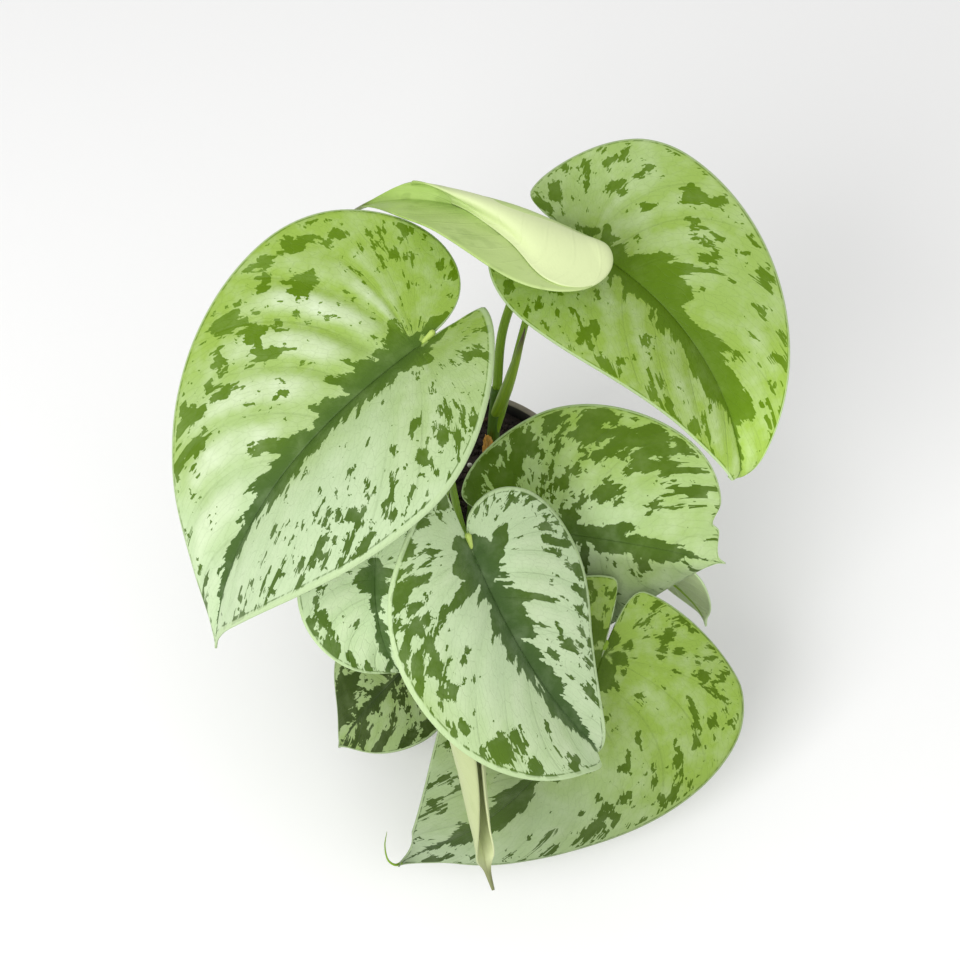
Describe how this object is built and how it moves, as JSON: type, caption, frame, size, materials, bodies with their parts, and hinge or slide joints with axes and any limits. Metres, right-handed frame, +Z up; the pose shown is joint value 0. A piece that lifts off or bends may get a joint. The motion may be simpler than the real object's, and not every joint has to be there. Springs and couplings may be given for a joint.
{
  "type": "potted satin pothos",
  "caption": "Satin pothos with large heart-shaped, silver-mottled leaves on arching stalks, growing in a round tapered nursery pot.",
  "frame": {"origin": "middle of the pot's flat base", "axes": "+Z up; the plant leans out over the pot's rim towards -Y"},
  "size_m": [0.2435, 0.2413, 0.2515],
  "materials": {
    "leaf_green": "satin",
    "young_leaf": "satin",
    "stem_green": "satin",
    "dry_husk": "matte",
    "pot_plastic": "satin",
    "soil": "matte"
  },
  "bodies": {
    "root": {"pot": "pot_plastic", "soil": "soil", "stem_a": "stem_green", "stem_b": "stem_green", "stem_c": "stem_green", "leaf_01": "leaf_green", "leaf_02": "young_leaf", "leaf_03": "leaf_green", "leaf_04": "leaf_green", "leaf_05": "leaf_green", "leaf_06": "leaf_green", "leaf_07": "leaf_green", "leaf_08": "leaf_green", "leaf_09": "young_leaf", "leaf_10": "leaf_green", "spear": "stem_green", "dry_sheath": "dry_husk"}
  },
  "joints": []
}
